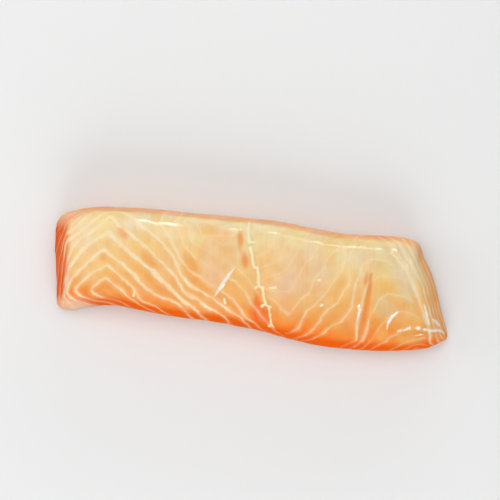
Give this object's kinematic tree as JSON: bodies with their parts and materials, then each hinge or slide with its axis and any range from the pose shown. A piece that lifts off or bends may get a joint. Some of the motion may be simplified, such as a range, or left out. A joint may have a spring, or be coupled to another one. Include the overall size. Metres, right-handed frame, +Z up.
{
  "type": "raw salmon fillet",
  "caption": "Raw salmon fillet portion: a long slab of orange flesh with pale fat lines, sloping cut sides, one thick end and one thin end.",
  "frame": {"origin": "middle of the bounding box's bottom, on the flat underside that the fillet rests on", "axes": "+X along the long side towards the thin belly end, +Y towards the straighter and steeper back edge, +Z up through the cut side"},
  "size_m": [0.208, 0.0624, 0.0265],
  "materials": {
    "flesh": "satin"
  },
  "bodies": {
    "root": {"fillet": "flesh"}
  },
  "joints": []
}
